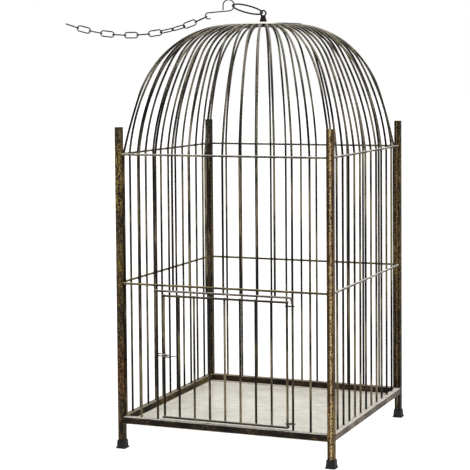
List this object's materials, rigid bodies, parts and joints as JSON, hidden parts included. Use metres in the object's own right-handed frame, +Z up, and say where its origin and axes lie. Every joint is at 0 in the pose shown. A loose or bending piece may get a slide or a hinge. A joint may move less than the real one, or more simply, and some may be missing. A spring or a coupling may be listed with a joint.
{
  "type": "bird cage",
  "caption": "Square wire bird cage on four tube posts with foot caps, a ribbed dome and crown disc, a hinged latched door, a floor tray, and a hanging ring, S-hook and chain.",
  "frame": {"origin": "on the floor under the middle of the cage", "axes": "+Z up, -Y towards the door side, +X to the right seen from the door side; the door hinges on the +X side"},
  "size_m": [0.5533, 0.419, 0.8126],
  "materials": {
    "square_tube": "black-brown enamel dry-brushed with antique gold",
    "cage_wire": "black-brown enamel dry-brushed with antique gold",
    "tray_sheet": "plain zinc-coated sheet, satin",
    "crown_sheet": "pale sheet with a dark rubbed edge",
    "hanging_hardware": "dark bronze-black, satin",
    "foot_cap": "moulded black"
  },
  "bodies": {
    "cage": {"post_front_left": "square_tube", "post_front_right": "square_tube", "post_back_right": "square_tube", "post_back_left": "square_tube", "foot_cap_front_left": "foot_cap", "foot_cap_front_right": "foot_cap", "foot_cap_back_right": "foot_cap", "foot_cap_back_left": "foot_cap", "base_rail_front": "square_tube", "base_rail_right": "square_tube", "base_rail_back": "square_tube", "base_rail_left": "square_tube", "mid_rail_front": "cage_wire", "mid_rail_right": "cage_wire", "mid_rail_back": "cage_wire", "mid_rail_left": "cage_wire", "top_rail_front": "cage_wire", "top_rail_right": "cage_wire", "top_rail_back": "cage_wire", "top_rail_left": "cage_wire", "dome_ribs_front": "cage_wire", "dome_ribs_right": "cage_wire", "dome_ribs_back": "cage_wire", "dome_ribs_left": "cage_wire", "uprights_right": "cage_wire", "uprights_back": "cage_wire", "uprights_left": "cage_wire", "uprights_latch_side": "cage_wire", "uprights_hinge_side": "cage_wire", "uprights_over_door": "cage_wire", "door_header_wire": "cage_wire", "floor_tray": "tray_sheet", "crown_disc": "crown_sheet", "hanging_eye": "hanging_hardware", "eye_nut": "hanging_hardware"},
    "door": {"door_top_wire": "cage_wire", "door_bottom_wire": "cage_wire", "door_latch_bar": "cage_wire", "door_hinge_bar": "cage_wire", "door_inner_bars": "cage_wire", "hinge_loop_upper": "cage_wire", "hinge_loop_lower": "cage_wire"},
    "latch": {"door_latch": "cage_wire"},
    "ring": {"hanging_ring": "hanging_hardware"},
    "s_hook": {"s_hook": "hanging_hardware"},
    "link_01": {"chain_link_01": "hanging_hardware"},
    "link_02": {"chain_link_02": "hanging_hardware"},
    "link_03": {"chain_link_03": "hanging_hardware"},
    "link_04": {"chain_link_04": "hanging_hardware"},
    "link_05": {"chain_link_05": "hanging_hardware"},
    "link_06": {"chain_link_06": "hanging_hardware"},
    "link_07": {"chain_link_07": "hanging_hardware"},
    "link_08": {"chain_link_08": "hanging_hardware"},
    "link_09": {"chain_link_09": "hanging_hardware"},
    "link_10": {"chain_link_10": "hanging_hardware"},
    "link_11": {"chain_link_11": "hanging_hardware"},
    "link_12": {"chain_link_12": "hanging_hardware"}
  },
  "joints": [
    {"name": "door_swing", "type": "hinge", "parent": "cage", "child": "door", "pos_m": [0.12933, -0.198, 0.172], "axis": [0, 0, 1], "range_deg": [0, 150]},
    {"name": "latch_turn", "type": "hinge", "parent": "door", "child": "latch", "pos_m": [-0.1155, -0.198, 0.1735], "axis": [0, 0, -1], "range_deg": [0, 90]},
    {"name": "ring_swing", "type": "hinge", "parent": "cage", "child": "ring", "pos_m": [-0.00144, -0.00055, 0.78641], "axis": [-0.2836, 0.9258, 0.25], "range_deg": [-7, 140]},
    {"name": "hook_swing", "type": "hinge", "parent": "ring", "child": "s_hook", "pos_m": [-0.05284, -0.02029, 0.80117], "axis": [0.2836, -0.9258, -0.25], "range_deg": [-100, 9]},
    {"name": "link_01_swing", "type": "hinge", "parent": "s_hook", "child": "link_01", "pos_m": [-0.09745, -0.03741, 0.78053], "axis": [-0.3584, 0.9336, 0], "range_deg": [-25, 60]},
    {"name": "link_02_swing", "type": "hinge", "parent": "link_01", "child": "link_02", "pos_m": [-0.1186, -0.04553, 0.77044], "axis": [0.3584, -0.9336, 0], "range_deg": [-60, 40]},
    {"name": "link_03_swing", "type": "hinge", "parent": "link_02", "child": "link_03", "pos_m": [-0.13596, -0.05219, 0.76364], "axis": [-0.1801, 0.8585, -0.4801], "range_deg": [-45, 60]},
    {"name": "link_04_swing", "type": "hinge", "parent": "link_03", "child": "link_04", "pos_m": [-0.15595, -0.05987, 0.75741], "axis": [0.4098, -0.7703, -0.4885], "range_deg": [-60, 60]},
    {"name": "link_05_swing", "type": "hinge", "parent": "link_04", "child": "link_05", "pos_m": [-0.17857, -0.06855, 0.75213], "axis": [-0.4098, 0.7703, 0.4885], "range_deg": [-60, 60]},
    {"name": "link_06_swing", "type": "hinge", "parent": "link_05", "child": "link_06", "pos_m": [-0.19686, -0.07557, 0.74924], "axis": [0.3584, -0.9336, 0], "range_deg": [-60, 60]},
    {"name": "link_07_swing", "type": "hinge", "parent": "link_06", "child": "link_07", "pos_m": [-0.21994, -0.08443, 0.74729], "axis": [-0.3584, 0.9336, 0], "range_deg": [-60, 60]},
    {"name": "link_08_swing", "type": "hinge", "parent": "link_07", "child": "link_08", "pos_m": [-0.23843, -0.09152, 0.74708], "axis": [0.3584, -0.9336, 0], "range_deg": [-60, 60]},
    {"name": "link_09_swing", "type": "hinge", "parent": "link_08", "child": "link_09", "pos_m": [-0.26154, -0.1004, 0.74851], "axis": [-0.3584, 0.9336, 0], "range_deg": [-60, 60]},
    {"name": "link_10_swing", "type": "hinge", "parent": "link_09", "child": "link_10", "pos_m": [-0.27988, -0.10744, 0.75099], "axis": [0.3584, -0.9336, 0], "range_deg": [-60, 60]},
    {"name": "link_11_swing", "type": "hinge", "parent": "link_10", "child": "link_11", "pos_m": [-0.3026, -0.11616, 0.75577], "axis": [-0.3584, 0.9336, 0], "range_deg": [-60, 60]},
    {"name": "link_12_swing", "type": "hinge", "parent": "link_11", "child": "link_12", "pos_m": [-0.32045, -0.12301, 0.76089], "axis": [0.3584, -0.9336, 0], "range_deg": [-60, 60]}
  ]
}
